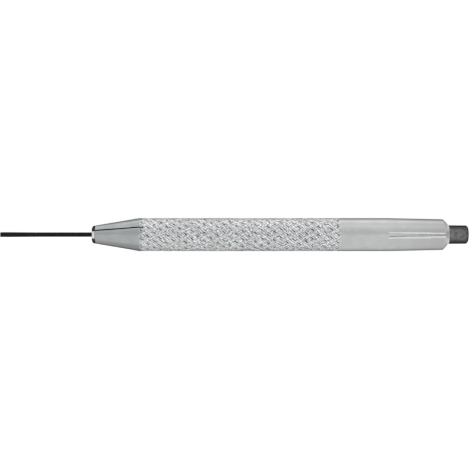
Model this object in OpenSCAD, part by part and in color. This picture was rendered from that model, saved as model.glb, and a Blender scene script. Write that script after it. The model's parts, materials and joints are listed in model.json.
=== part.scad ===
// Pin punch with a sliding guide sleeve, in millimetres.
// It lies along X on the bench, with the pin towards -X and the head towards +X.
// The sleeve is drawn fully back, so that the pin stands out of its nose.

/* [Lengths in use] */
// Length of pin that stands out of the nose with the sleeve fully back
pin_out = 29.5; // [20:0.5:40]
// Length of the guide sleeve, from the nose's front to the tail's end
sleeve_l = 114.3; // [110:0.1:140]
// Length of head that stands out of the tail
head_out = 6.2; // [4:0.1:12]
// How far the pin's tip is inside the nose with the sleeve fully forward
tip_cover = 0.8; // [0.3:0.1:2]

/* [Guide sleeve, outside] */
// Diameter of the sleeve's straight body
sleeve_d = 10.6; // [10.2:0.1:13]
// Diameter of the nose at its front, before its edge is rounded
nose_d = 5.5; // [5:0.1:7]
// Radius of the nose's front edge
nose_round = 0.8; // [0.3:0.1:1]
// Length of the nose, from its front to the full diameter
nose_l = 15.2; // [12:0.1:20]
// Width of the flat ring that the chamfer leaves at the tail's end
tail_land = 0.15; // [0.05:0.05:0.8]
// Radius of the edge between the tail's side and its chamfer
tail_round = 0.8; // [0.1:0.1:1.5]

/* [Guide sleeve, bore] */
// Diameter of the bore behind the nose
bore_d = 6.8; // [6.7:0.05:7.4]
// Length of the pin's guide hole in the nose
guide_l = 14.4; // [11:0.1:16]
// Included angle of the drill point at the end of the bore
drill_angle = 118; // [90:1:140]
// Depth of the countersink in front of the pin's guide hole
mouth_depth = 0.2; // [0.1:0.05:0.4]

/* [Saw cuts] */
// Width of the saw cut through the nose
nose_cut_w = 0.4; // [0.2:0.05:0.6]
// How far the saw cut through the nose runs on into the straight body
nose_cut_past = 1; // [0:0.1:3]
// Tilt of the nose's saw cut above level, on the side of -Y
nose_cut_tilt = 29; // [0:1:90]
// Width that the pinch leaves of the tail slot at the tail's end
tail_gap_w = 0.56; // [0.2:0.02:1]
// Length of the tail slot
tail_cut_l = 19.4; // [12:0.1:24]
// Size of the broken edges along the tail slot
tail_cut_edge = 0.35; // [0.1:0.05:0.5]

/* [Pin] */
// Diameter of the pin's working end
pin_tip_d = 1.55; // [1.45:0.01:1.65]
// Length of the pin's working end
pin_tip_l = 4; // [2:0.5:8]
// Length over which the pin eases down to its shank
pin_ease_l = 8; // [3:0.5:10]
// Diameter of the pin's shank
pin_d = 1.42; // [1.2:0.01:1.45]
// Chamfer at the pin's tip
pin_chamfer = 0.08; // [0.02:0.01:0.2]
// Diameter of the pin's upset head
pin_head_d = 2.8; // [2.2:0.1:3]
// Thickness of the pin's upset head
pin_head_l = 1.2; // [0.8:0.1:2]

/* [Pin nut] */
// Thickness of the wall that the pin's head bears on
nut_wall = 3; // [2:0.1:4]
// Length of thread in the pin nut
nut_thread_l = 6; // [4:0.5:10]
// Diameter of the nut's tapping hole
tap_d = 3.3; // [3.2:0.05:3.6]
// Depth of each of the nut's two spanner flats
nut_flat_depth = 0.35; // [0.1:0.05:0.6]
// Length of the spanner flats
nut_flat_l = 3.5; // [2:0.1:5]

/* [Guide bush] */
// Length of the guide bush
bush_l = 8; // [5:0.5:12]

/* [Shaft] */
// Diameter of the shaft's ground rear part, which the tail grips
shaft_d = 6; // [5.7:0.05:6.2]
// Diameter of the journal that the guide bush turns on
journal_d = 4.6; // [4.3:0.1:5]
// Diameter of the stud that the pin nut screws on
stud_d = 4; // [3.7:0.1:4.2]

/* [Striking head] */
// Diameter of the head next to the tail
head_d = 6; // [5.6:0.05:6.3]
// Diameter of the head next to its struck end
head_back_d = 5.9; // [5.5:0.05:6.3]
// Chamfer round the struck end
head_chamfer = 0.45; // [0.1:0.05:1]
// Diameter of the spigot that holds the head in the shaft
spigot_d = 3; // [2:0.1:4]
// Length of the spigot that holds the head in the shaft
spigot_l = 8; // [4:0.5:15]

/* [Clearances] */
// Radial clearance of a running fit
run_fit = 0.03; // [0.01:0.005:0.05]
// Radial clearance of a thread, or of a seat that stays put
seat_fit = 0.02; // [0.01:0.005:0.05]
// Radial clearance round the pin's working end, in its guide hole and in the nut
pin_fit = 0.05; // [0.02:0.01:0.1]
// Radial room round the shaft's front part in the bore
front_room = 0.15; // [0.1:0.01:0.25]
// Radial room round the pin nut in the bore
nut_room = 0.3; // [0.1:0.05:0.5]
// Gap between two faces that stop or pass each other
face_gap = 0.05; // [0.02:0.01:0.1]
// End play of the guide bush
bush_play = 0.1; // [0.05:0.01:0.3]
// Room that is left at the end of the sleeve's travel
stop_room = 1; // [0.5:0.1:3]
// Chamfer on turned edges inside the sleeve
edge_chamfer = 0.3; // [0.1:0.05:0.4]

/* [Hidden] */
$fn = 96;

// Straight steps in each rounded edge
arc_steps = 8;
// How far a cutter runs past the face that it cuts
over = 1;

sleeve_r = sleeve_d / 2;
bore_r = bore_d / 2;
shaft_r = shaft_d / 2;
guide_r = pin_tip_d / 2 + pin_fit;

// The tail is pinched until its mouth just runs on the shaft
grip_r = shaft_r + run_fit;
pinch = bore_r - grip_r;
pinch_angle = atan(pinch / tail_cut_l);
tail_r = sleeve_r - pinch;
tail_chamfer = tail_r - grip_r - tail_land;
tail_cut_w = tail_gap_w + 2 * pinch;

// Slope of a drill point, and the length of the one that ends the bore
point_slope = tan(drill_angle / 2);
point_l = (bore_r - guide_r) / point_slope;

// Places along the axis, from the pin's tip
nose_x = pin_out;
tail_x = nose_x + sleeve_l;
overall_l = tail_x + head_out;
tail_cut_x = tail_x - tail_cut_l;
travel = pin_out + tip_cover;

// The nut seats its cone on the drill point, and its wall carries the pin's head
nut_r = bore_r - nut_room;
nut_x = nose_x + guide_l + face_gap;
pin_head_x = nut_x + nut_wall;
stud_x = pin_head_x + pin_head_l;
nut_back_x = stud_x + nut_thread_l;

// The bush runs between the nut and the shaft's front shoulder
bush_x = nut_back_x + bush_play / 2;
shoulder_x = nut_back_x + bush_l + bush_play;

// The shaft's stop shoulder meets the pinched tail when the sleeve is fully forward
front_r = bore_r - front_room;
stop_x = tail_cut_x + tail_cut_l * front_room / pinch - stop_room - travel;
shaft_end_x = tail_x + face_gap;

// Direction of a vector
function unit(v) = v / norm(v);

// Arc of radius r that rounds the corner b between the points a and c
function arc(a, b, c, r) =
    let (u = unit(a - b), v = unit(c - b), half = acos(u * v) / 2,
         centre = b + unit(u + v) * r / sin(half),
         first = b + u * r / tan(half) - centre,
         last = b + v * r / tan(half) - centre,
         start = atan2(first.y, first.x),
         turn = atan2(last.y, last.x) - start,
         sweep = turn > 180 ? turn - 360 : turn < -180 ? turn + 360 : turn)
    [for (i = [0 : arc_steps]) let (t = start + sweep * i / arc_steps) centre + r * [cos(t), sin(t)]];

// Outline from corners [radius, place along the axis, radius of the rounded corner or 0]
function outline(corners) =
    let (n = len(corners), flat = [for (c = corners) [c.x, c.y]])
    [for (i = [0 : n - 1])
        each corners[i].z == 0 ? [flat[i]] : arc(flat[(i + n - 1) % n], flat[i], flat[(i + 1) % n], corners[i].z)];

// Turned piece, drawn upwards from zero
module turned(corners) {
    rotate_extrude() polygon(outline(corners));
}

// Puts children on the punch's axis, pointing to +X, at a distance from the pin's tip
module on_axis(x) {
    translate([x - overall_l / 2, 0, sleeve_r]) rotate([0, 90, 0]) children();
}

// Saw cut right through the nose, in one plane with the axis
module nose_cut() {
    cut_l = nose_l + nose_cut_past;
    rotate([0, 0, -nose_cut_tilt])
        translate([-nose_cut_w / 2, -sleeve_r - over, -over])
            cube([nose_cut_w, 2 * (sleeve_r + over), cut_l + over]);
}

// Square bar that breaks an edge, centred on that edge and drawn upwards from zero
module edge_bar(l) {
    side = tail_cut_edge * sqrt(2);
    rotate([0, 0, 45]) translate([-side / 2, -side / 2, 0]) cube([side, side, l]);
}

// Level cut right through the tail, narrowed by the pinch, with its outer edges broken
module tail_slot() {
    half_w = tail_cut_w / 2;
    end_half_w = half_w - pinch * (tail_cut_l + over) / tail_cut_l;
    edge_y = sqrt(sleeve_r ^ 2 - half_w ^ 2);
    edge_l = tail_cut_l + over;
    rotate([90, 0, 0])
        translate([0, 0, -sleeve_r - over])
            linear_extrude(2 * (sleeve_r + over))
                polygon([[-half_w, 0], [half_w, 0], [end_half_w, edge_l], [-end_half_w, edge_l]]);
    for (front = [-1, 1]) {
        for (above = [-1, 1])
            translate([above * half_w, front * edge_y, 0])
                rotate([front * pinch_angle, -above * pinch_angle, 0])
                    edge_bar(edge_l);
        translate([-half_w, front * edge_y, 0]) rotate([0, 90, 0]) edge_bar(tail_cut_w);
    }
}

module guide_sleeve() {
    bore_end = guide_l + point_l;
    slot_start = sleeve_l - tail_cut_l;
    color([0.74, 0.76, 0.77])
        on_axis(nose_x)
            difference() {
                turned([
                    [guide_r + mouth_depth, 0, 0],
                    [nose_d / 2, 0, nose_round],
                    [sleeve_r, nose_l, 0],
                    [sleeve_r, slot_start, 0],
                    [tail_r, sleeve_l - tail_chamfer, tail_round],
                    [tail_r - tail_chamfer, sleeve_l, 0],
                    [grip_r, sleeve_l, 0],
                    [bore_r, slot_start, 0],
                    [bore_r, bore_end, 0],
                    [guide_r, guide_l, 0],
                    [guide_r, mouth_depth, 0]
                ]);
                nose_cut();
                translate([0, 0, slot_start]) tail_slot();
            }
}

module punch_pin() {
    tip_r = pin_tip_d / 2;
    shank_r = pin_d / 2;
    head_r = pin_head_d / 2;
    head_end = pin_head_x + pin_head_l;
    color([0.15, 0.16, 0.165])
        on_axis(0)
            turned([
                [0, 0, 0],
                [tip_r - pin_chamfer, 0, 0],
                [tip_r, pin_chamfer, 0],
                [tip_r, pin_tip_l, 0],
                [shank_r, pin_tip_l + pin_ease_l, 0],
                [shank_r, pin_head_x, 0],
                [head_r, pin_head_x, 0],
                [head_r, head_end, 0],
                [0, head_end, 0]
            ]);
}

// Cap nut with a cone in front, which seats on the drill point in the sleeve
module pin_nut() {
    nut_l = nut_back_x - nut_x;
    thread_r = stud_d / 2 + seat_fit;
    cone_l = (nut_r - guide_r) / point_slope;
    flat_y = nut_r - nut_flat_depth;
    color([0.60, 0.61, 0.62])
        on_axis(nut_x)
            difference() {
                turned([
                    [guide_r, 0, 0],
                    [nut_r, cone_l, 0],
                    [nut_r, nut_l - edge_chamfer, 0],
                    [nut_r - edge_chamfer, nut_l, 0],
                    [thread_r, nut_l, 0],
                    [thread_r, nut_l - nut_thread_l, 0],
                    [tap_d / 2, nut_l - nut_thread_l, 0],
                    [tap_d / 2, nut_wall, 0],
                    [guide_r, nut_wall, 0]
                ]);
                for (side = [0, 180])
                    rotate([0, 0, side])
                        translate([-nut_r - over, flat_y, nut_l - nut_flat_l])
                            cube([2 * (nut_r + over), nut_flat_depth + over, nut_flat_l + over]);
            }
}

module guide_bush() {
    hole_r = journal_d / 2 + run_fit;
    outer_r = bore_r - run_fit;
    color([0.72, 0.58, 0.32])
        on_axis(bush_x)
            turned([
                [hole_r, 0, 0],
                [outer_r - edge_chamfer, 0, 0],
                [outer_r, edge_chamfer, 0],
                [outer_r, bush_l - edge_chamfer, 0],
                [outer_r - edge_chamfer, bush_l, 0],
                [hole_r, bush_l, 0]
            ]);
}

module shaft() {
    stud_r = stud_d / 2;
    journal_r = journal_d / 2;
    hole_r = spigot_d / 2 + seat_fit;
    stud_end = nut_back_x - stud_x + face_gap;
    shoulder = shoulder_x - stud_x;
    stop = stop_x - stud_x;
    end = shaft_end_x - stud_x;
    hole_end = end - spigot_l - face_gap;
    color([0.80, 0.81, 0.82])
        on_axis(stud_x)
            turned([
                [0, 0, 0],
                [tap_d / 2, 0, 0],
                [stud_r, stud_r - tap_d / 2, 0],
                [stud_r, stud_end, 0],
                [journal_r, stud_end, 0],
                [journal_r, shoulder, 0],
                [front_r - edge_chamfer, shoulder, 0],
                [front_r, shoulder + edge_chamfer, 0],
                [front_r, stop - (front_r - shaft_r), 0],
                [shaft_r, stop, 0],
                [shaft_r, end, 0],
                [hole_r, end, 0],
                [hole_r, hole_end, 0],
                [0, hole_end - hole_r / point_slope, 0]
            ]);
}

module striking_head() {
    spigot_r = spigot_d / 2;
    head_l = overall_l - shaft_end_x;
    back_r = head_back_d / 2;
    color([0.36, 0.36, 0.37])
        on_axis(shaft_end_x)
            turned([
                [0, -spigot_l, 0],
                [spigot_r - edge_chamfer, -spigot_l, 0],
                [spigot_r, edge_chamfer - spigot_l, 0],
                [spigot_r, 0, 0],
                [head_d / 2, 0, 0],
                [back_r, head_l - head_chamfer, head_chamfer / 2],
                [back_r - head_chamfer, head_l, head_chamfer / 2],
                [0, head_l, 0]
            ]);
}

guide_sleeve();
punch_pin();
pin_nut();
guide_bush();
shaft();
striking_head();
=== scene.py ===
"""Looks of a pin punch with a sliding guide sleeve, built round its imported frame.

The punch lies along X, with its pin towards -X and its striking head towards +X. The viewer looks along
+Y. The sleeve is modelled here with its knurl, saw cuts and rounded edges. The other pieces keep their
solids and get their finishes here.
"""

import json
import logging
import math
from dataclasses import dataclass, field
from enum import Enum
from typing import ClassVar

import bmesh
import bpy
import numpy as np
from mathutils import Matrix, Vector

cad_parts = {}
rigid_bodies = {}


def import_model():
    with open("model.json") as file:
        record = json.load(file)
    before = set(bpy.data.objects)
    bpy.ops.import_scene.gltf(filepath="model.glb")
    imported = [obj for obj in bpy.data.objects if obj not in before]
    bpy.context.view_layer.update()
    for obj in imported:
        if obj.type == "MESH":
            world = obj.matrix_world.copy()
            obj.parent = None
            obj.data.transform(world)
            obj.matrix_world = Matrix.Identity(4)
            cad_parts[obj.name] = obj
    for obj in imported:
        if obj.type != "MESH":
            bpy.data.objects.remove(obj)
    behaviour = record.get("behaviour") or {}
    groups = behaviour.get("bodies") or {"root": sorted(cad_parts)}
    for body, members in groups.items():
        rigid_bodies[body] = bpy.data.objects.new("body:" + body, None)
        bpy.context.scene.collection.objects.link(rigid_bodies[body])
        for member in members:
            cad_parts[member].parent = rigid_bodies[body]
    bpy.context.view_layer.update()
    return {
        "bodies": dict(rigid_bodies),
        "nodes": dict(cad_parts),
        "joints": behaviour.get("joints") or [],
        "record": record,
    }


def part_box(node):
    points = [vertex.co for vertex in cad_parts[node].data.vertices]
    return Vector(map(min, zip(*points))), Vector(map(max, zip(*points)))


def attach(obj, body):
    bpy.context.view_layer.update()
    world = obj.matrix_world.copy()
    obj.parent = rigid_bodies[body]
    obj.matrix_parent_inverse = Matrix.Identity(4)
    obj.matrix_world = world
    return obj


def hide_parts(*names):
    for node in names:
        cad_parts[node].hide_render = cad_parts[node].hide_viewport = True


LOG = logging.getLogger("pin_punch")
MM = 0.001
Colour = tuple[float, float, float]
Point = tuple[float, float, float]

# The knurl's hollow value on even ground
EVEN = 0.5

# Places of the Mix node's sockets, because several of them share a name
MIX_COLOURS = (6, 7)
MIX_COLOUR_OUT = 2
MIX_VALUES = (2, 3)
MIX_VALUE_OUT = 0


class Body(Enum):
    """The moving body that the modelled piece belongs to."""

    SLEEVE = "sleeve"


class Slot(Enum):
    """The record's material slot that the modelled piece fills."""

    NICKEL = "satin_nickel"


class Hand(Enum):
    """Which way a row of knurl grooves winds, as the viewer sees it."""

    FALLING = 1
    RISING = -1


# Shader building


class Graph:
    """A shader node tree that is filled node by node."""

    def __init__(self, tree: bpy.types.NodeTree) -> None:
        """Starts from an empty tree.

        Args:
            tree: The node tree to fill.
        """
        self.tree = tree
        tree.nodes.clear()

    def node(self, kind: str, **settings: object) -> bpy.types.Node:
        """Adds a node.

        Args:
            kind: The node's type, such as ShaderNodeMath.
            **settings: Properties to set on it.

        Returns:
            The new node.
        """
        made = self.tree.nodes.new(kind)
        for name, value in settings.items():
            setattr(made, name, value)
        return made

    def feed(self, node: bpy.types.Node, **inputs: object) -> bpy.types.Node:
        """Sets or links a node's inputs.

        Args:
            node: The node to feed.
            **inputs: Input names, with underscores for spaces, and a value or an output for each.

        Returns:
            The same node.
        """
        for name, value in inputs.items():
            self.put(node.inputs[name.replace("_", " ")], value)
        return node

    def put(self, socket: bpy.types.NodeSocket, value: object) -> None:
        """Links an output to an input, or sets the input to a constant.

        Args:
            socket: The input.
            value: The output or the constant.
        """
        if isinstance(value, bpy.types.NodeSocket):
            self.tree.links.new(value, socket)
        else:
            socket.default_value = value

    def math(self, operation: str, first: object, second: object = 0.0) -> bpy.types.NodeSocket:
        """Adds a Math node.

        Args:
            operation: The operation's name.
            first: The first value or output.
            second: The second value or output.

        Returns:
            The node's output.
        """
        made = self.node("ShaderNodeMath", operation=operation)
        self.put(made.inputs[0], first)
        self.put(made.inputs[1], second)
        return made.outputs[0]

    def place(self) -> bpy.types.NodeSocket:
        """Gives the place in the shared frame, in metres."""
        return self.node("ShaderNodeTexCoord").outputs["Object"]

    def split(self, vector: bpy.types.NodeSocket) -> bpy.types.NodeOutputs:
        """Gives the outputs X, Y and Z of a vector."""
        return self.feed(self.node("ShaderNodeSeparateXYZ"), Vector=vector).outputs

    def attribute(self, name: str) -> bpy.types.NodeSocket:
        """Gives a number that the mesh stores for each point."""
        return self.node("ShaderNodeAttribute", attribute_name=name).outputs["Fac"]

    def group(self, tree: bpy.types.NodeTree, **values: object) -> bpy.types.NodeOutputs:
        """Places a shared group with its own values, and gives its outputs."""
        return self.feed(self.node("ShaderNodeGroup", node_tree=tree), **values).outputs

    def bump(self, depth: float, height: object, **before: object) -> bpy.types.NodeSocket:
        """Gives the normal of a height, on top of the Normal before it where that is given."""
        made = self.feed(self.node("ShaderNodeBump"), Distance=depth, Height=height, **before)
        return made.outputs["Normal"]

    def noise(
        self, vector: object, scale: object, detail: float, roughness: float
    ) -> bpy.types.NodeSocket:
        """Adds a noise texture.

        Args:
            vector: Where it is read.
            scale: Its scale, per metre.
            detail: Its octaves.
            roughness: How strong the finer octaves are.

        Returns:
            Its value, from 0 to 1.
        """
        made = self.node("ShaderNodeTexNoise")
        self.feed(made, Vector=vector, Scale=scale, Detail=detail, Roughness=roughness)
        return made.outputs["Fac"]

    def ramp(
        self, value: object, low: float, high: float, to_low: float = 0.0, to_high: float = 1.0
    ) -> bpy.types.NodeSocket:
        """Maps a range of a value smoothly onto another range.

        Args:
            value: The value or output to map.
            low: Where the range starts.
            high: Where the range ends.
            to_low: What low becomes.
            to_high: What high becomes.

        Returns:
            The mapped value.
        """
        made = self.node("ShaderNodeMapRange", interpolation_type="SMOOTHSTEP")
        names = ("From Min", "From Max", "To Min", "To Max")
        self.put(made.inputs["Value"], value)
        for name, number in zip(names, (low, high, to_low, to_high), strict=True):
            made.inputs[name].default_value = number
        return made.outputs["Result"]

    def blend(self, share: object, first: object, second: object) -> bpy.types.NodeSocket:
        """Mixes two colours.

        Args:
            share: The second colour's share.
            first: The first colour or output.
            second: The second colour or output.

        Returns:
            The mixed colour.
        """
        made = self.node("ShaderNodeMix", data_type="RGBA")
        self.put(made.inputs["Factor"], share)
        for index, value in zip(MIX_COLOURS, (first, second), strict=True):
            solid = not isinstance(value, bpy.types.NodeSocket)
            self.put(made.inputs[index], (*value, 1.0) if solid else value)
        return made.outputs[MIX_COLOUR_OUT]

    def mix(self, share: object, first: object, second: object) -> bpy.types.NodeSocket:
        """Mixes two numbers.

        Args:
            share: The second number's share.
            first: The first number or output.
            second: The second number or output.

        Returns:
            The mixed number.
        """
        made = self.node("ShaderNodeMix", data_type="FLOAT")
        self.put(made.inputs["Factor"], share)
        for index, value in zip(MIX_VALUES, (first, second), strict=True):
            self.put(made.inputs[index], value)
        return made.outputs[MIX_VALUE_OUT]


class EffectGroups:
    """The shader node groups that the finishes share, each built once."""

    def __init__(self) -> None:
        """Builds every group."""
        self.mottle = self._mottle()
        self.tool_marks = self._tool_marks()
        self.grain = self._grain()

    @staticmethod
    def _new(name: str, inputs: dict[str, float], output: str) -> tuple[Graph, bpy.types.NodeOutputs]:
        """Starts a group.

        Args:
            name: The group's name.
            inputs: Its number inputs and their defaults.
            output: Its number output.

        Returns:
            The group's graph, and the values that a material gives it.
        """
        tree = bpy.data.node_groups.new(name, "ShaderNodeTree")
        graph = Graph(tree)
        for label, value in inputs.items():
            socket = tree.interface.new_socket(label, in_out="INPUT", socket_type="NodeSocketFloat")
            socket.default_value = value
        tree.interface.new_socket(output, in_out="OUTPUT", socket_type="NodeSocketFloat")
        return graph, graph.node("NodeGroupInput").outputs

    def _mottle(self) -> bpy.types.NodeTree:
        """Builds the cloudy tone of a handled metal surface.

        Returns:
            A group whose Mask runs from 0 to 1.
        """
        graph, given = self._new("handled_mottle", {"Scale": 260.0}, "Mask")
        clean, dull = 0.3, 0.7
        cloud = graph.noise(graph.place(), given["Scale"], detail=5.0, roughness=0.6)
        graph.feed(graph.node("NodeGroupOutput"), Mask=graph.ramp(cloud, clean, dull))
        return graph.tree

    def _tool_marks(self) -> bpy.types.NodeTree:
        """Builds the fine marks that a lathe or a grinding wheel leaves round a piece.

        Returns:
            A group whose Height runs from 0 to 1.
        """
        graph, given = self._new("tool_marks", {"Scale": 4000.0, "Around": 0.03}, "Height")
        parts = graph.split(graph.place())
        drawn = graph.feed(graph.node("ShaderNodeCombineXYZ"), X=parts["X"])
        for axis in ("Y", "Z"):
            graph.put(drawn.inputs[axis], graph.math("MULTIPLY", parts[axis], given["Around"]))
        lines = graph.noise(drawn.outputs["Vector"], given["Scale"], detail=3.0, roughness=0.7)
        graph.feed(graph.node("NodeGroupOutput"), Height=lines)
        return graph.tree

    def _grain(self) -> bpy.types.NodeTree:
        """Builds the fine pebbled grain of a tumbled and plated surface.

        Returns:
            A group whose Height runs from 0 to 1.
        """
        graph, given = self._new("plated_grain", {"Scale": 9000.0, "Pits": 0.3}, "Height")
        place = graph.place()
        fine = graph.noise(place, given["Scale"], detail=2.0, roughness=0.6)
        cells = graph.node("ShaderNodeTexVoronoi", feature="F1")
        graph.feed(cells, Vector=place, Scale=given["Scale"])
        pits = graph.math("MULTIPLY", cells.outputs["Distance"], given["Pits"])
        graph.feed(graph.node("NodeGroupOutput"), Height=graph.math("ADD", fine, pits))
        return graph.tree


# Finishes


@dataclass(frozen=True)
class MetalFinish:
    """A metal surface, how it was worked and how use has marked it.

    Attributes:
        name: The material's name.
        colour: Its colour where it is clean.
        dull: Its colour where it is dull or stained.
        edge_tint: How much light it returns at a grazing angle, against a perfect metal.
        roughness: The least and most roughness over the surface.
        stain_scale: How fine its dull places are, per metre.
        marks: Depth of the tool marks, in metres.
        marks_scale: How fine the tool marks are, per metre.
        grain: Depth of its grain, in metres.
        grain_scale: How fine its grain is, per metre.
        painted_limb_shade: Painted shade that darkens its colour where it is seen at a slant, or None
            where none is painted.
    """

    name: str
    colour: Colour
    dull: Colour
    edge_tint: Colour = (0.3, 0.3, 0.3)
    roughness: tuple[float, float] = (0.3, 0.4)
    stain_scale: float = 260.0
    marks: float = 2e-6
    marks_scale: float = 4000.0
    grain: float = 1e-6
    grain_scale: float = 9000.0
    painted_limb_shade: Colour | None = None

    def material(self, groups: EffectGroups) -> bpy.types.Material:
        """Builds the material.

        Args:
            groups: The shared effects.

        Returns:
            The material.
        """
        made = bpy.data.materials.new(self.name)
        made.use_nodes = True
        graph = Graph(made.node_tree)
        mask = self.stain(graph, groups)
        surface = graph.feed(
            graph.node("ShaderNodeBsdfPrincipled"),
            Metallic=1.0,
            Specular_Tint=(*self.edge_tint, 1.0),
            Base_Color=self.shade_limbs(graph, self.tone(graph, mask)),
            Roughness=self.gloss(graph, mask),
            Normal=self.relief(graph, groups),
        )
        graph.feed(graph.node("ShaderNodeOutputMaterial"), Surface=surface.outputs["BSDF"])
        return made

    def stain(self, graph: Graph, groups: EffectGroups) -> bpy.types.NodeSocket:
        """Gives the mask of dull places, from 0 to 1."""
        return graph.group(groups.mottle, Scale=self.stain_scale)["Mask"]

    def tone(self, graph: Graph, mask: bpy.types.NodeSocket) -> bpy.types.NodeSocket:
        """Gives the colour for a mask of dull places."""
        return graph.blend(mask, self.colour, self.dull)

    def shade_limbs(self, graph: Graph, colour: bpy.types.NodeSocket) -> bpy.types.NodeSocket:
        """Paints shade into a colour where the surface is seen at a slant, darkening its limbs.

        Args:
            graph: The material's graph.
            colour: The colour where the surface faces the viewer.

        Returns:
            The colour everywhere.
        """
        # Painted shade: the colour darkens towards the limbs by the Fresnel slant, as if the surface were
        # lit only from the front.
        if self.painted_limb_shade is None:
            return colour
        # The Fresnel node gives head_on where the surface faces the viewer and more where it turns away
        index, head_on, evening = 1.45, 0.0337, 0.35
        slight, full = 0.03, 0.25
        slant = graph.feed(graph.node("ShaderNodeFresnel"), IOR=index).outputs["Fac"]
        turned_away = graph.math("MAXIMUM", graph.math("SUBTRACT", slant, head_on), 0.0)
        spread = graph.math("POWER", turned_away, evening)
        return graph.blend(graph.ramp(spread, slight, full), colour, self.painted_limb_shade)

    def gloss(self, graph: Graph, mask: bpy.types.NodeSocket) -> bpy.types.NodeSocket:
        """Gives the roughness for a mask of dull places."""
        return graph.ramp(mask, 0.0, 1.0, *self.roughness)

    def relief(self, graph: Graph, groups: EffectGroups) -> bpy.types.NodeSocket:
        """Gives the normal that its tool marks and grain make.

        Args:
            graph: The material's graph.
            groups: The shared effects.

        Returns:
            The normal.
        """
        marks = graph.group(groups.tool_marks, Scale=self.marks_scale)["Height"]
        grain = graph.group(groups.grain, Scale=self.grain_scale)["Height"]
        return graph.bump(self.grain, grain, Normal=graph.bump(self.marks, marks))


@dataclass(frozen=True)
class SleeveFinish(MetalFinish):
    """The plated sleeve: a shinier nose with painted shade on its underside, a satin body, and a knurl
    whose crests are rubbed bright and painted as highlights, whose grooves are painted shade and whose
    pits hold grime and painted shade.

    Attributes:
        nose_colour: Colour of the polished nose.
        nose_dull: Colour of the dull places on the nose.
        nose_painted_shade: Painted shade on the nose's underside, a darker colour that stands in for the
            shadowed floor it mirrors.
        painted_shade_facing: Upward share of the normal where the painted shade is full and where it
            ends.
        nose_roughness: Roughness of the polished nose.
        nose_end: Where the polish ends along X, in metres.
        nose_blur: Half the length over which the polish ends, in metres.
        tail_colour: Colour at the handled tail's end.
        tail_reach: Where the tail starts to turn dull and where it is dull all over along X, in metres.
        crest_wear_and_highlight: Colour of the knurl's crests, rubbed bright and painted as highlights.
        groove: Painted shade, the dark colour of the knurl's grooves.
        pit: Colour at the bottom of its pits, grime and painted shade together.
        pit_reach: Values of the pit attribute between which the grime and painted shade set in.
        shade_and_grime_reach: Values of the dull places' mask between which the grime and painted shade
            in the pits grow thicker.
        least_shade_and_grime: Share of grime and painted shade in the pits of the cleanest places.
    """

    nose_colour: Colour = (0.43, 0.445, 0.447)
    nose_dull: Colour = (0.375, 0.39, 0.392)
    nose_painted_shade: Colour = (0.29, 0.3, 0.305)
    painted_shade_facing: tuple[float, float] = (-0.72, -0.5)
    nose_roughness: float = 0.24
    nose_end: float = -0.0295
    nose_blur: float = 0.0004
    tail_colour: Colour = (0.46, 0.465, 0.463)
    tail_reach: tuple[float, float] = (0.047, 0.069)
    crest_wear_and_highlight: Colour = (0.96, 0.98, 1.0)
    groove: Colour = (0.11, 0.115, 0.12)
    pit: Colour = (0.012, 0.012, 0.013)
    pit_reach: tuple[float, float] = (0.3, 0.55)
    shade_and_grime_reach: tuple[float, float] = (0.2, 0.6)
    least_shade_and_grime: float = 0.7

    def nose_mask(self, graph: Graph) -> bpy.types.NodeSocket:
        """Gives the mask of the polished nose, from 0 to 1."""
        along = graph.split(graph.place())["X"]
        return graph.ramp(along, self.nose_end - self.nose_blur, self.nose_end + self.nose_blur, 1.0, 0.0)

    def tone(self, graph: Graph, mask: bpy.types.NodeSocket) -> bpy.types.NodeSocket:
        """Gives the colour, with the nose and its painted shade, the tail, and the knurl's painted
        highlights, painted shade and grime.

        Args:
            graph: The material's graph.
            mask: The mask of dull places.

        Returns:
            The colour.
        """
        hollow, pit = (graph.attribute(name) for name in ("hollow", "pit"))
        tail = graph.ramp(graph.split(graph.place())["X"], *self.tail_reach)
        # Painted shade: the nose's underside is coloured darker by how far its normal faces down,
        # standing in for the shadowed floor it mirrors.
        facing = graph.split(graph.node("ShaderNodeTexCoord").outputs["Normal"])["Z"]
        underside_shade = graph.ramp(facing, *self.painted_shade_facing, 1.0, 0.0)
        body = graph.blend(tail, super().tone(graph, mask), self.tail_colour)
        nose = graph.blend(underside_shade, graph.blend(mask, self.nose_colour, self.nose_dull), self.nose_painted_shade)
        whole = graph.blend(self.nose_mask(graph), body, nose)
        # Painted highlight and painted shade: crests are coloured near white, rubbed bright and painted
        # as highlights; grooves are coloured dark as painted shade.
        worn_and_highlit = graph.blend(graph.ramp(hollow, 0.0, EVEN, 1.0, 0.0), whole, self.crest_wear_and_highlight)
        grooved = graph.blend(graph.ramp(hollow, EVEN, 1.0), worn_and_highlit, self.groove)
        # Pits are coloured darkest, grime and painted shade together, more in the dull places.
        grime_and_shade_strength = graph.ramp(mask, *self.shade_and_grime_reach, self.least_shade_and_grime, 1.0)
        grime_and_shade = graph.math("MULTIPLY", graph.ramp(pit, *self.pit_reach), grime_and_shade_strength)
        return graph.blend(grime_and_shade, grooved, self.pit)

    def gloss(self, graph: Graph, mask: bpy.types.NodeSocket) -> bpy.types.NodeSocket:
        """Gives the roughness, with the nose."""
        return graph.mix(self.nose_mask(graph), super().gloss(graph, mask), self.nose_roughness)


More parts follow.
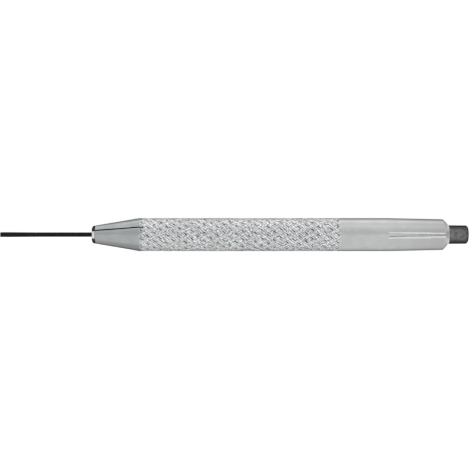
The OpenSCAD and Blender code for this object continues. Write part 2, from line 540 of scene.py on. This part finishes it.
@dataclass(frozen=True)
class RingFinish(MetalFinish):
    """A polished ring with painted dark reflections between bright patches round it.

    Attributes:
        axis_z: Height of the ring's axis, in metres.
        bright_patches: How many bright patches there are round it, one of them facing -Y.
        patch_edge: How soft the patches' edges are, from 0 to 1.
        painted_dark_reflection: Painted dark reflection, the colour between the patches.
    """

    axis_z: float = 0.0053
    bright_patches: float = 3.0
    patch_edge: float = 0.4
    painted_dark_reflection: Colour = (0.045, 0.045, 0.048)

    def tone(self, graph: Graph, mask: bpy.types.NodeSocket) -> bpy.types.NodeSocket:
        """Gives the colour, bright in the patches with painted dark reflection between them.

        Args:
            graph: The material's graph.
            mask: The mask of dull places.

        Returns:
            The colour.
        """
        # Painted reflection: the ring is coloured dark in arcs between the bright patches, as if it
        # mirrored something dark there.
        parts = graph.split(graph.place())
        up = graph.math("SUBTRACT", parts["Z"], self.axis_z)
        turn = graph.math("ARCTAN2", up, graph.math("MULTIPLY", parts["Y"], -1.0))
        wave = graph.math("COSINE", graph.math("MULTIPLY", turn, self.bright_patches))
        return graph.blend(graph.ramp(wave, 0.0, self.patch_edge), self.painted_dark_reflection, super().tone(graph, mask))


# Mesh building


def mesh_piece(name: str, points: np.ndarray, faces: list[tuple[int, ...]]) -> bpy.types.Object:
    """Makes an object from points and faces, shaded smooth.

    Args:
        name: The object's name.
        points: The points, in metres, in the shared frame.
        faces: The corners of each face.

    Returns:
        The object, linked to the scene.
    """
    mesh = bpy.data.meshes.new(name)
    mesh.from_pydata(points.tolist(), [], faces)
    mesh.validate()
    work = bmesh.new()
    work.from_mesh(mesh)
    bmesh.ops.recalc_face_normals(work, faces=work.faces)
    work.to_mesh(mesh)
    work.free()
    mesh.shade_smooth()
    made = bpy.data.objects.new(name, mesh)
    bpy.context.scene.collection.objects.link(made)
    return made


def set_values(piece: bpy.types.Object, name: str, values: np.ndarray) -> None:
    """Stores a number for each point of a piece.

    Args:
        piece: The piece.
        name: The attribute's name.
        values: One number a point.
    """
    layer = piece.data.attributes.new(name, "FLOAT", "POINT")
    layer.data.foreach_set("value", values.astype(np.float32).ravel())


def ring_faces(rows: int, columns: int) -> list[tuple[int, ...]]:
    """Gives the faces of a grid that closes on itself both ways.

    Args:
        rows: Rings of the grid.
        columns: Points in a ring.

    Returns:
        The corners of each face.
    """
    row, column = np.meshgrid(np.arange(rows), np.arange(columns), indexing="ij")
    below = (row + 1) % rows
    beside = (column + 1) % columns
    corners = ((row, column), (row, beside), (below, beside), (below, column))
    return [tuple(f) for f in np.stack([(r * columns + c).ravel() for r, c in corners], 1).tolist()]


def loft_faces(rings: int, corners: int) -> list[tuple[int, ...]]:
    """Gives the faces of a closed solid between rings of points.

    Args:
        rings: How many rings there are.
        corners: Points in each ring.

    Returns:
        The corners of each face.
    """
    last = corners * (rings - 1)
    faces: list[tuple[int, ...]] = [tuple(range(corners)), tuple(range(last, last + corners))]
    for ring in range(rings - 1):
        for i in range(corners):
            a, b = ring * corners + i, ring * corners + (i + 1) % corners
            faces.append((a, b, b + corners, a + corners))
    return faces


def arc_points(
    before: Point, corner: Point, after: Point, radius: float, steps: int
) -> list[Point]:
    """Rounds a corner of an outline.

    Args:
        before: The outline's point before the corner.
        corner: The corner.
        after: The outline's point after the corner.
        radius: The rounding's radius.
        steps: Straight steps in the arc.

    Returns:
        The points of the arc, as (radius, place, 0).
    """
    centre_of = Vector(corner)
    first = (Vector(before) - centre_of).normalized()
    last = (Vector(after) - centre_of).normalized()
    half = first.angle(last) / 2
    start = centre_of + first * radius / math.tan(half)
    end = centre_of + last * radius / math.tan(half)
    centre = centre_of + (first + last).normalized() * radius / math.sin(half)
    spin = (start - centre).normalized().slerp
    turn = (end - centre).normalized()
    return [tuple(centre + spin(turn, i / steps) * radius) for i in range(steps + 1)]


def spaced(points: list[tuple[float, float]], step: float) -> list[tuple[float, float]]:
    """Adds points along an outline's long straights.

    Args:
        points: The outline's points.
        step: The longest distance that stays.

    Returns:
        The outline with the added points.
    """
    made = points[:1]
    for first, last in zip(points, points[1:]):
        count = max(1, math.ceil(math.dist(first, last) / step))
        ends = np.linspace(first, last, count + 1)[1:]
        made += [tuple(p) for p in ends.tolist()]
    return made


def cut(piece: bpy.types.Object, cutter: bpy.types.Object) -> None:
    """Takes a cutter's solid out of a piece and deletes the cutter, whose material stays on the cut.

    Args:
        piece: The piece that is cut.
        cutter: The solid that is taken out.
    """
    step = piece.modifiers.new("cut", "BOOLEAN")
    step.operation = "DIFFERENCE"
    step.object = cutter
    step.solver = "EXACT"
    step.material_mode = "TRANSFER"
    evaluated = piece.evaluated_get(bpy.context.evaluated_depsgraph_get())
    mesh = bpy.data.meshes.new_from_object(evaluated)
    piece.modifiers.remove(step)
    old = piece.data
    mesh.name = old.name
    piece.data = mesh
    bpy.data.meshes.remove(old)
    bpy.data.objects.remove(cutter)


# Pieces


@dataclass(frozen=True)
class KnurlRow:
    """One family of parallel knurl grooves, wound round the sleeve.

    Attributes:
        starts: How many grooves lie side by side round the sleeve.
        lead: Distance between neighbouring grooves along the sleeve, in mm.
        hand: Which way they wind.
        width: Half their width, as a share of their pitch.
    """

    starts: int
    lead: float
    hand: Hand
    width: float

    def shape(self, along: np.ndarray, angle: np.ndarray) -> np.ndarray:
        """Gives how deep in a groove each place is.

        Args:
            along: Places along the sleeve, in mm.
            angle: Angles round the sleeve.

        Returns:
            The share of the groove's depth, from 0 to 1.
        """
        pitches = along / self.lead + self.hand.value * self.starts * angle / math.tau
        distance = np.abs((pitches % 1.0) - 0.5)
        return np.clip(1.0 - distance / self.width, 0.0, 1.0)

    def smear(self, values: np.ndarray, rows_per_mm: float, reach: int) -> np.ndarray:
        """Draws a grid of values out into strokes along the grooves.

        Args:
            values: One value for each place of a grid that closes on itself sideways.
            rows_per_mm: Rows of the grid along a millimetre of the sleeve.
            reach: Rows that a stroke reaches to each side.

        Returns:
            The smeared values.
        """
        columns = values.shape[1]
        slant = -self.hand.value * columns / (self.starts * self.lead * rows_per_mm)
        steps = range(-reach, reach + 1)
        moved = [np.roll(values, (step, round(step * slant)), (0, 1)) for step in steps]
        return np.mean(moved, 0)


@dataclass(frozen=True)
class Knurl:
    """A double-tracked diamond knurl: fine grooves both ways, of which every second one is deeper.

    Attributes:
        fine: The fine grooves and their depths in mm.
        coarse: The deeper ones among them and their further depths in mm.
        pit_depth: Further depth where two of the deeper grooves cross, in mm.
        stroke_depth: Unevenness that the knurling wheels leave along the grooves, in mm.
        stroke_reach: Rows that one uneven stroke reaches to each side.
        stroke_range: Standard deviations that the unevenness spans before it is cut off.
        flat: Depth that the flat tops of the crests hide, in mm.
        hollow_depth: Depth against their surroundings that counts as a full hollow, in mm.
        hollow_reach: How far the surroundings reach, in passes of smoothing.
        wear_and_highlight: How far even ground in the knurl has the tone of its crests, rubbed bright and
            painted as highlights.
        speckle: Spread of its tone from place to place.
        seed: Seed of the unevenness.
    """

    fine: tuple[tuple[KnurlRow, float], ...] = (
        (KnurlRow(24, 1.605, Hand.FALLING, 0.5), 0.13),
        (KnurlRow(24, 2.7, Hand.RISING, 0.5), 0.06),
    )
    coarse: tuple[tuple[KnurlRow, float], ...] = (
        (KnurlRow(12, 3.21, Hand.FALLING, 0.16), 0.08),
        (KnurlRow(12, 5.4, Hand.RISING, 0.45), 0.01),
    )
    pit_depth: float = 0.18
    stroke_depth: float = 0.25
    stroke_reach: int = 3
    stroke_range: float = 4.0
    flat: float = 0.2
    hollow_depth: float = 0.013
    hollow_reach: int = 2
    wear_and_highlight: float = 0.22
    speckle: float = 0.35
    seed: int = 7

    def depth(self, along: np.ndarray, angle: np.ndarray, rows_per_mm: float) -> np.ndarray:
        """Gives its depth at each place of a grid.

        Args:
            along: Places along the sleeve, in mm, one row of the grid after another.
            angle: Angles round the sleeve.
            rows_per_mm: Rows of the grid along a millimetre of the sleeve.

        Returns:
            The depth, in mm.
        """
        deep = sum(depth * row.shape(along, angle) for row, depth in self.fine + self.coarse)
        deep = deep + self.pit_depth * self.pits(along, angle)
        return deep + self.stroke_depth * self.strokes(along.shape, rows_per_mm)

    def pits(self, along: np.ndarray, angle: np.ndarray) -> np.ndarray:
        """Finds where two of the deeper grooves cross.

        Args:
            along: Places along the sleeve, in mm.
            angle: Angles round the sleeve.

        Returns:
            The share of the pit's depth, from 0 to 1.
        """
        (first, _), (second, _) = self.coarse
        return first.shape(along, angle) * second.shape(along, angle)

    def strokes(self, shape: tuple[int, int], rows_per_mm: float) -> np.ndarray:
        """Gives uneven strokes along both families of grooves.

        Args:
            shape: Rows and columns of the grid.
            rows_per_mm: Rows of the grid along a millimetre of the sleeve.

        Returns:
            Their share of the depth, from 0 to 1.
        """
        dice = np.random.default_rng(self.seed)
        reach = self.stroke_reach
        mixed = sum(row.smear(dice.standard_normal(shape), rows_per_mm, reach) for row, _ in self.fine)
        return np.clip(0.5 + mixed / (self.stroke_range * mixed.std()), 0.0, 1.0)

    def hollows(self, deep: np.ndarray) -> np.ndarray:
        """Finds what lies lower or higher than its surroundings.

        Args:
            deep: The depth at each place of a grid, in mm.

        Returns:
            From 0 on the sharpest crests, over EVEN on even ground, to 1 in the deepest hollows.
        """
        even = deep
        for _ in range(self.hollow_reach):
            for axis in (0, 1):
                even = (np.roll(even, 1, axis) + 2 * even + np.roll(even, -1, axis)) / 4
        specks = self.speckle * np.random.default_rng(self.seed + 1).standard_normal(deep.shape)
        lower = (deep - even) / (2.0 * self.hollow_depth)
        return np.clip(EVEN - self.wear_and_highlight + specks + lower, 0.0, 1.0)


@dataclass
class GuideSleeve:
    """The sleeve that the user holds: a tapered split nose, a knurled grip and a pinched slotted tail.

    Sizes are in mm, and places along it count from the nose's front.

    Attributes:
        EDGE_WEAR_AND_HIGHLIGHT: Place of the bright edges' finish among the finishes, rubbed bright and
            painted as a highlight.
        SAWN: Place of the sawn walls' finish.
        RING: Place of the front ring's finish.
        CHAMFER: Place of the tail chamfer's finish.
        nose_d: Diameter of the nose's front.
        nose_round: Radius of the rounding at the nose's front.
        nose_l: Length of the tapered nose.
        knurl_end: Where the knurl ends.
        knurl_lead: Where the mesh's close rows start, just ahead of the knurl.
        knurl_start: Where the knurl starts.
        knurl_fade: Length over which the knurl reaches its full depth.
        tail_cut_l: Length of the tail's slot.
        tail_land: Width of the flat rim round the tail's mouth.
        tail_round: Radius of the rounding where the tail's chamfer starts.
        bore_d: Diameter of the bore.
        guide_l: Depth of the hole that guides the pin.
        guide_d: Diameter of that hole.
        drill_angle: Angle of the drill's point at the end of the bore, in degrees.
        mouth_depth: Depth and width of the guide hole's broken edge.
        pinch: How far the tail's end is pinched in.
        nose_cut_w: Width of the saw cut in the nose.
        nose_cut_past: How far that cut runs past the nose.
        nose_cut_tilt: Angle between the cut and the tail's slot, in degrees.
        roll: How far the sleeve lies rolled about its axis, in degrees.
        tail_gap_w: Width of the slot's gap at the pinched end.
        tail_taper: How much wider each side of the gap is at its start.
        tail_edge: Radius of the slot's rounded lips.
        rim_l: Length of the tail's rim that has the bright edges' finish.
        chamfer_l: Length of the tail's end that has the chamfer's finish.
        ring_l: Length of the front ring.
        ring_line: Depth, and half the width, of the line turned behind the ring.
        over: How far the cutters reach past the sleeve.
        columns: The mesh's points round the sleeve.
        knurl_step: Distance between the mesh's rows in the knurl.
        outer_step: Longest distance between rows on the plain outside.
        bore_step: Longest distance between rows in the bore.
        arc_steps: Straight steps in a rounding.
        sharp_angle: Angle from which an edge stays sharp, in degrees.
        knurl: The pattern of the grip.
        start: Where the nose's front lies along X.
        length: The sleeve's length.
        radius: The straight body's radius.
        axis_z: Height of the sleeve's axis.
    """

    EDGE_WEAR_AND_HIGHLIGHT: ClassVar[int] = 1
    SAWN: ClassVar[int] = 2
    RING: ClassVar[int] = 3
    CHAMFER: ClassVar[int] = 4
    nose_d: float = 5.5
    nose_round: float = 0.8
    nose_l: float = 15.2
    knurl_end: float = 79.8
    knurl_lead: float = 14.5
    knurl_start: float = 15.0
    knurl_fade: float = 0.9
    tail_cut_l: float = 19.4
    tail_land: float = 0.15
    tail_round: float = 0.8
    bore_d: float = 6.8
    guide_l: float = 14.4
    guide_d: float = 1.65
    drill_angle: float = 118.0
    mouth_depth: float = 0.2
    pinch: float = 0.37
    nose_cut_w: float = 0.5
    nose_cut_past: float = 1.6
    nose_cut_tilt: float = 29.0
    roll: float = 2.6
    tail_gap_w: float = 0.1
    tail_taper: float = 0.26
    tail_edge: float = 0.7
    rim_l: float = 0.45
    chamfer_l: float = 1.7
    ring_l: float = 1.02
    ring_line: float = 0.12
    over: float = 1.0
    columns: int = 208
    knurl_step: float = 0.17
    outer_step: float = 1.6
    bore_step: float = 6.0
    arc_steps: int = 8
    sharp_angle: float = 34.0
    knurl: Knurl = Knurl()
    start: float = field(init=False)
    length: float = field(init=False)
    radius: float = field(init=False)
    axis_z: float = field(init=False)

    def __post_init__(self) -> None:
        """Takes the sleeve's place, length and radius from the frame."""
        low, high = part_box("guide_sleeve")
        self.start = low.x / MM
        self.length = (high.x - low.x) / MM
        self.radius = (high.z - low.z) / 2 / MM
        self.axis_z = (high.z + low.z) / 2 / MM

    @property
    def slot_start(self) -> float:
        """Where the tail slot starts."""
        return self.length - self.tail_cut_l

    @property
    def grip_radius(self) -> float:
        """Radius of the pinched mouth."""
        return self.bore_d / 2 - self.pinch

    @property
    def nose_slope(self) -> float:
        """How fast the nose's radius grows along it."""
        return (self.radius - self.nose_d / 2) / self.nose_l

    def outside(self) -> list[tuple[float, float]]:
        """Gives the outside's points as (radius, place), from the nose's mouth to the tail's end.

        Returns:
            The points, close together along the knurl.
        """
        tail_r = self.radius - self.pinch
        chamfer = tail_r - self.grip_radius - self.tail_land
        mouth = (self.guide_d / 2 + self.mouth_depth, 0.0, 0.0)
        front = (self.nose_d / 2, 0.0, 0.0)
        shoulder = (self.radius, self.nose_l, 0.0)
        slot = (self.radius, self.slot_start, 0.0)
        bend = (tail_r, self.length - chamfer, 0.0)
        end = (tail_r - chamfer, self.length, 0.0)
        nose = arc_points(mouth, front, shoulder, self.nose_round, self.arc_steps)
        tail = arc_points(slot, bend, end, self.tail_round, self.arc_steps)
        line: list[Point] = []
        for step, down in ((-1.0, 0.0), (0.0, 1.0), (1.0, 0.0)):
            place = self.ring_l + step * self.ring_line
            line.append((self.envelope(place) - down * self.ring_line, place, 0.0))
        before = [mouth, *nose, *line, (self.envelope(self.knurl_lead), self.knurl_lead, 0.0)]
        after = [(self.radius, self.knurl_end, 0.0), slot, *tail, end]
        rows = np.arange(self.knurl_lead, self.knurl_end, self.knurl_step)[1:-1]
        plain = [[(r, s) for r, s, _ in part] for part in (before, after)]
        first, last = (spaced(part, self.outer_step) for part in plain)
        return first + [(self.envelope(s), s) for s in rows.tolist()] + last

    def inside(self) -> list[tuple[float, float]]:
        """Gives the bore's points as (radius, place), from the tail's mouth back to the nose's mouth.

        Returns:
            The points.
        """
        bore_r = self.bore_d / 2
        guide_r = self.guide_d / 2
        bore_end = self.guide_l + (bore_r - guide_r) / math.tan(math.radians(self.drill_angle / 2))
        corners = [
            (self.grip_radius, self.length),
            (bore_r, self.slot_start),
            (bore_r, bore_end),
            (guide_r, self.guide_l),
            (guide_r, self.mouth_depth),
        ]
        return spaced(corners, self.bore_step)

    def envelope(self, along: float) -> float:
        """Gives the radius of the turned outside at a place, before knurling."""
        return min(self.radius, self.nose_d / 2 + self.nose_slope * along)

    def blank(self, finishes: list[bpy.types.Material]) -> bpy.types.Object:
        """Builds the knurled sleeve before its saw cuts.

        Args:
            finishes: Materials of the surface, broken edges, sawn walls, front ring and chamfer.

        Returns:
            The sleeve's object.
        """
        outer, inner = self.outside(), self.inside()
        section = np.array(outer + inner)
        angle = np.linspace(0.0, math.tau, self.columns, endpoint=False)
        radius, along = (np.repeat(section[:, i : i + 1], self.columns, 1) for i in (0, 1))
        turned = np.repeat(angle[None, :], len(section), 0)
        inset = np.minimum(along - self.knurl_start, self.knurl_end - along)
        fade = np.clip(inset / self.knurl_fade, 0.0, 1.0)
        fade[len(outer) :] = 0.0
        deep = self.knurl.depth(along, turned, 1.0 / self.knurl_step) * fade
        sunk = np.maximum(deep - self.knurl.flat, 0.0)
        radius = np.where(fade > 0.0, np.minimum(radius, self.radius - sunk), radius)
        hollow = np.where(fade > 0.0, EVEN + (self.knurl.hollows(deep) - EVEN) * fade, EVEN)
        aside, up = -radius * np.cos(turned), radius * np.sin(turned)
        points = np.stack((self.start + along, aside, self.axis_z + up), 2).reshape(-1, 3) * MM
        piece = mesh_piece("knurled_guide_sleeve", points, ring_faces(len(section), self.columns))
        plain_radius = np.array([self.envelope(place) for place in section[:, 1]])
        pressed = (radius < plain_radius[:, None]) | ((fade > 0.0) & (along > self.nose_l))
        set_values(piece, "hollow", np.where(pressed, hollow, EVEN))
        set_values(piece, "pit", np.where(pressed, self.knurl.pits(along, turned) * fade, 0.0))
        for finish in finishes:
            piece.data.materials.append(finish)
        self.dress_ends(piece)
        return piece

    def dress_ends(self, piece: bpy.types.Object) -> None:
        """Gives the tail's rim and chamfer and the nose's front ring their own finishes.

        Args:
            piece: The sleeve's object.
        """
        for face in piece.data.polygons:
            along = face.center.x / MM - self.start
            out = math.hypot(face.center.y, face.center.z - self.axis_z * MM) / MM
            # The tail's rim gets the bright edges' finish, rubbed bright and painted as a highlight.
            if along > self.length - self.rim_l:
                face.material_index = self.EDGE_WEAR_AND_HIGHLIGHT
            elif along > self.length - self.chamfer_l:
                face.material_index = self.CHAMFER
            elif along < self.ring_l and out > self.nose_d / 2 - self.nose_round:
                face.material_index = self.RING

    def nose_cutter(self) -> bpy.types.Object:
        """Builds the blade that saws the nose, through the axis.

        Returns:
            The cutter's object.
        """
        half = self.nose_cut_w / 2
        reach = self.radius + self.over
        tilt = math.radians(self.nose_cut_tilt - self.roll)
        across = Vector((0.0, -math.cos(tilt), math.sin(tilt)))
        up = Vector((0.0, math.sin(tilt), math.cos(tilt)))
        centre = Vector((self.start, 0.0, self.axis_z))
        points = [
            centre + Vector((s, 0.0, 0.0)) + across * a * reach + up * b * half
            for s in (-self.over, self.nose_l + self.nose_cut_past)
            for a, b in ((-1, -1), (1, -1), (1, 1), (-1, 1))
        ]
        cutter = mesh_piece("nose_cutter", np.array(points) * MM, loft_faces(2, 4))
        for face in cutter.data.polygons:
            face.material_index = self.SAWN
        return cutter

    def tail_cutter(self) -> bpy.types.Object:
        """Builds the cutter of the tail's slot, which flares at both surfaces to round the slot's lips.

        Returns:
            The cutter's object.
        """
        end = self.length + self.over
        half = self.tail_gap_w / 2 + self.tail_taper
        slope = self.pinch / self.tail_cut_l
        top = math.sqrt(self.radius**2 - (half + self.tail_edge) ** 2)
        edge = self.tail_edge
        turns = [math.pi / 2 * i / self.arc_steps for i in range(self.arc_steps + 1)]
        levels = [(-self.over, edge)]
        levels += [(edge * (1.0 - math.cos(turn)), edge * (1.0 - math.sin(turn))) for turn in turns]
        rings = [(-1.0, *level) for level in levels] + [(1.0, *level) for level in reversed(levels)]
        roll = math.radians(self.roll)
        towards = Vector((0.0, math.cos(roll), math.sin(roll)))
        up = Vector((0.0, -math.sin(roll), math.cos(roll)))
        centre = Vector((self.start, 0.0, self.axis_z))
        points: list[Vector] = []
        for side, down, flare in rings:
            first, last = self.slot_start, end
            for s, sign in ((first, 1.0), (last, 1.0), (last, -1.0), (first, -1.0)):
                pinched = slope * max(0.0, s - self.slot_start)
                width = half + flare - pinched * self.tail_taper / self.pinch
                along = centre + Vector((s, 0.0, 0.0))
                points.append(along + towards * side * (top - pinched - down) + up * sign * width)
        cutter = mesh_piece("tail_cutter", np.array(points) * MM, loft_faces(len(rings), 4))
        lips_y = (top - edge) / 2 * MM
        # The slot's lips get the bright edges' finish, rubbed bright and painted as highlights.
        for face in cutter.data.polygons:
            face.material_index = self.SAWN if abs(face.center.y) < lips_y else self.EDGE_WEAR_AND_HIGHLIGHT
        return cutter

    def build(self, finishes: list[bpy.types.Material]) -> bpy.types.Object:
        """Builds, cuts and places the sleeve.

        Args:
            finishes: Materials of the surface, broken edges, sawn walls, front ring and chamfer.

        Returns:
            The sleeve's object.
        """
        piece = self.blank(finishes)
        for cutter in (self.nose_cutter(), self.tail_cutter()):
            for finish in finishes:
                cutter.data.materials.append(finish)
            cut(piece, cutter)
        piece.data.set_sharp_from_angle(angle=math.radians(self.sharp_angle))
        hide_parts("guide_sleeve")
        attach(piece, Body.SLEEVE.value)
        return piece


@dataclass
class DrivingTrain:
    """The pieces that work in the sleeve: the pin, its nut, the bush, the shaft and the striking head.

    Attributes:
        groups: The shared effects.
    """

    groups: EffectGroups

    def dress(self, frame: dict, finishes: dict[str, MetalFinish]) -> None:
        """Gives each solid its finish.

        Args:
            frame: The loaded frame.
            finishes: The finish of each solid, by the solid's name.
        """
        for name, finish in finishes.items():
            solid = frame["nodes"][name]
            solid.data.materials.clear()
            solid.data.materials.append(finish.material(self.groups))
            LOG.info("dressed %s in %s", name, finish.name)


# Studio


@dataclass
class Studio:
    """A pale floor, a white surround and soft lamps.

    Attributes:
        floor_z: Height of the floor, in metres.
        centre: Where the lamps point.
        floor_half: Half the floor's side, in metres.
        floor_colour: The floor's colour.
        floor_glow: White that the camera sees in the floor besides its lit colour.
        mirror_share: Share of white in the floor that metal mirrors, which keeps the shadow faint there.
        world_light: Strength of the surround as a source of light.
        horizon: Strength of the surround that metal mirrors near the horizon.
        zenith: Strength of the surround that metal mirrors from above.
        rise: Heights, as shares of straight up, between which one turns into the other.
    """

    floor_z: float
    centre: Vector
    floor_half: float = 3.0
    floor_colour: Colour = (0.8, 0.8, 0.8)
    floor_glow: float = 0.45
    mirror_share: float = 0.95
    world_light: float = 0.8
    horizon: float = 0.82
    zenith: float = 1.0
    rise: tuple[float, float] = (0.3, 0.85)

    @staticmethod
    def mirrored(graph: Graph) -> tuple[bpy.types.NodeSocket, bpy.types.NodeSocket]:
        """Tells rays apart by where they come from.

        Args:
            graph: The graph of the floor or the surround.

        Returns:
            The mask of the rays that the camera sends out, and of those that metal or glass sends on.
        """
        rays = graph.node("ShaderNodeLightPath").outputs
        sent_on = graph.math("MAXIMUM", rays["Is Glossy Ray"], rays["Is Transmission Ray"])
        return rays["Is Camera Ray"], sent_on

    def floor(self) -> bpy.types.Object:
        """Lays the floor that the punch lies on.

        Returns:
            The floor's object.
        """
        sides = ((-1, -1), (1, -1), (1, 1), (-1, 1))
        points = np.array([(x * self.floor_half, y * self.floor_half, self.floor_z) for x, y in sides])
        piece = mesh_piece("floor", points, [(0, 1, 2, 3)])
        made = bpy.data.materials.new("pale_floor")
        made.use_nodes = True
        graph = Graph(made.node_tree)
        seen, sent_on = self.mirrored(graph)
        paint = graph.feed(graph.node("ShaderNodeBsdfDiffuse"), Color=(*self.floor_colour, 1.0))
        shine = graph.math("MULTIPLY", seen, self.floor_glow)
        glow = graph.feed(graph.node("ShaderNodeEmission"), Strength=shine)
        lit = graph.node("ShaderNodeAddShader")
        graph.put(lit.inputs[0], paint.outputs[0])
        graph.put(lit.inputs[1], glow.outputs[0])
        white = graph.feed(graph.node("ShaderNodeEmission"), Strength=1.0)
        whole = graph.node("ShaderNodeMixShader")
        graph.put(whole.inputs[0], graph.math("MULTIPLY", sent_on, self.mirror_share))
        graph.put(whole.inputs[1], lit.outputs[0])
        graph.put(whole.inputs[2], white.outputs[0])
        graph.feed(graph.node("ShaderNodeOutputMaterial"), Surface=whole.outputs[0])
        piece.data.materials.append(made)
        return piece

    def surround(self) -> None:
        """Makes the world white where it is seen, and softer as a source of light."""
        world = bpy.data.worlds.new("surround")
        bpy.context.scene.world = world
        world.use_nodes = True
        graph = Graph(world.node_tree)
        seen, sent_on = self.mirrored(graph)
        height = graph.split(graph.node("ShaderNodeTexCoord").outputs["Generated"])["Z"]
        reflected = graph.ramp(height, *self.rise, self.horizon, self.zenith)
        unseen = graph.mix(sent_on, self.world_light, reflected)
        white = graph.node("ShaderNodeBackground")
        graph.feed(white, Color=(1.0, 1.0, 1.0, 1.0), Strength=graph.mix(seen, unseen, 1.0))
        graph.feed(graph.node("ShaderNodeOutputWorld"), Surface=white.outputs[0])

    def lamp(
        self, name: str, place: Point, size: tuple[float, float], brightness: float
    ) -> bpy.types.Object:
        """Hangs a soft rectangular lamp that faces the punch.

        Args:
            name: The lamp's name.
            place: Where it hangs, in metres.
            size: Its width and height, in metres.
            brightness: How bright its face looks, where 1 is white.

        Returns:
            The lamp's object.
        """
        light = bpy.data.lights.new(name, "AREA")
        light.shape = "RECTANGLE"
        light.size, light.size_y = size
        light.energy = brightness * math.pi * size[0] * size[1]
        made = bpy.data.objects.new(name, light)
        made.location = place
        made.rotation_euler = (self.centre - Vector(place)).to_track_quat("-Z", "Y").to_euler()
        bpy.context.scene.collection.objects.link(made)
        return made

    def camera(self, axis_z: float) -> bpy.types.Object:
        """Places the camera square to the punch, at the photograph's distance.

        Args:
            axis_z: Height of the punch's axis, in metres.

        Returns:
            The camera's object.
        """
        frame_px = 470.0
        distance_px = 1200.0
        length_px = 466.8
        middle_px = Vector((233.9, 234.6))
        punch_l = 150.0
        near = 0.01
        scale = punch_l * MM / length_px
        data = bpy.data.cameras.new("camera")
        data.lens = data.sensor_width * distance_px / frame_px
        data.clip_start = near
        made = bpy.data.objects.new("camera", data)
        right = (frame_px / 2 - middle_px.x) * scale
        up = (middle_px.y - frame_px / 2) * scale
        made.location = (right, -distance_px * scale, axis_z + up)
        made.rotation_euler = (math.pi / 2, 0.0, 0.0)
        bpy.context.scene.collection.objects.link(made)
        bpy.context.scene.camera = made
        return made

    def build(self, axis_z: float) -> None:
        """Builds the floor, the surround, the lamps and the camera.

        Args:
            axis_z: Height of the punch's axis, in metres.
        """
        self.camera(axis_z)
        self.floor()
        self.surround()
        self.lamp("overhead_softbox", place=(0.0, 0.2, 0.7), size=(0.9, 0.3), brightness=0.35)
        self.lamp("front_strip", place=(-0.1, -0.22, 0.6), size=(0.9, 0.12), brightness=0.15)
        bpy.context.scene.view_settings.view_transform = "Standard"


# The punch's own finishes

NICKEL = SleeveFinish(
    name="satin_nickel",
    colour=(0.56, 0.568, 0.566),
    dull=(0.515, 0.522, 0.52),
    edge_tint=(0.2, 0.2, 0.2),
    roughness=(0.24, 0.3),
    marks=1.5e-6,
    grain=1.5e-6,
)
# Painted highlight with real rubbing: the tail's rim and the slot's lips are coloured brighter than the
# nickel.
EDGE_WEAR_AND_HIGHLIGHT_FINISH = MetalFinish(
    name="edge_wear_and_painted_highlight",
    colour=(0.76, 0.76, 0.755),
    dull=(0.7, 0.7, 0.7),
    edge_tint=(0.8, 0.8, 0.8),
)
SAWN = MetalFinish(
    name="sawn_nickel",
    colour=(0.97, 0.97, 0.97),
    dull=(0.92, 0.92, 0.92),
    edge_tint=(1.0, 1.0, 1.0),
    roughness=(0.08, 0.14),
)
CHAMFER = MetalFinish(
    name="turned_tail_chamfer",
    colour=(0.6, 0.605, 0.603),
    dull=(0.54, 0.545, 0.543),
    edge_tint=(0.4, 0.4, 0.4),
    roughness=(0.24, 0.3),
)
FRONT_RING = RingFinish(
    name="polished_front_ring",
    colour=(0.8, 0.8, 0.82),
    dull=(0.72, 0.72, 0.74),
    edge_tint=(0.0, 0.0, 0.0),
    roughness=(0.12, 0.18),
    grain=0.4e-6,
)
OXIDE = MetalFinish(
    name="black_oxide",
    colour=(0.014, 0.015, 0.016),
    dull=(0.022, 0.023, 0.024),
    edge_tint=(0.0, 0.0, 0.0),
    roughness=(0.35, 0.5),
)
GROUND = MetalFinish(
    name="ground_steel",
    colour=(0.76, 0.76, 0.76),
    dull=(0.68, 0.68, 0.68),
    roughness=(0.12, 0.18),
)
TURNED = MetalFinish(
    name="turned_steel",
    colour=(0.45, 0.46, 0.47),
    dull=(0.38, 0.38, 0.39),
    marks=4e-6,
)
BRASS = MetalFinish(
    name="turned_brass",
    colour=(0.75, 0.55, 0.25),
    dull=(0.6, 0.42, 0.2),
    roughness=(0.25, 0.35),
    marks=3e-6,
)
HARDENED = MetalFinish(
    name="hardened_head_steel",
    colour=(0.22, 0.22, 0.223),
    dull=(0.08, 0.08, 0.082),
    edge_tint=(0.25, 0.25, 0.25),
    roughness=(0.16, 0.26),
    stain_scale=600.0,
    painted_limb_shade=(0.058, 0.058, 0.06),
)


def main() -> None:
    """Builds the sleeve, dresses the other pieces and sets up the studio."""
    logging.basicConfig(level=logging.INFO, format="%(name)s: %(message)s")
    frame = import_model()
    groups = EffectGroups()
    sleeve = GuideSleeve()
    finishes = (NICKEL, EDGE_WEAR_AND_HIGHLIGHT_FINISH, SAWN, FRONT_RING, CHAMFER)
    piece = sleeve.build([finish.material(groups) for finish in finishes])
    LOG.info("built %s with %d faces", piece.name, len(piece.data.polygons))
    train = DrivingTrain(groups)
    train.dress(
        frame,
        {
            "punch_pin": OXIDE,
            "pin_nut": TURNED,
            "guide_bush": BRASS,
            "shaft": GROUND,
            "striking_head": HARDENED,
        },
    )
    studio = Studio(floor_z=0.0, centre=Vector((0.0, 0.0, sleeve.axis_z * MM)))
    studio.build(sleeve.axis_z * MM)


if __name__ == "__main__":
    main()
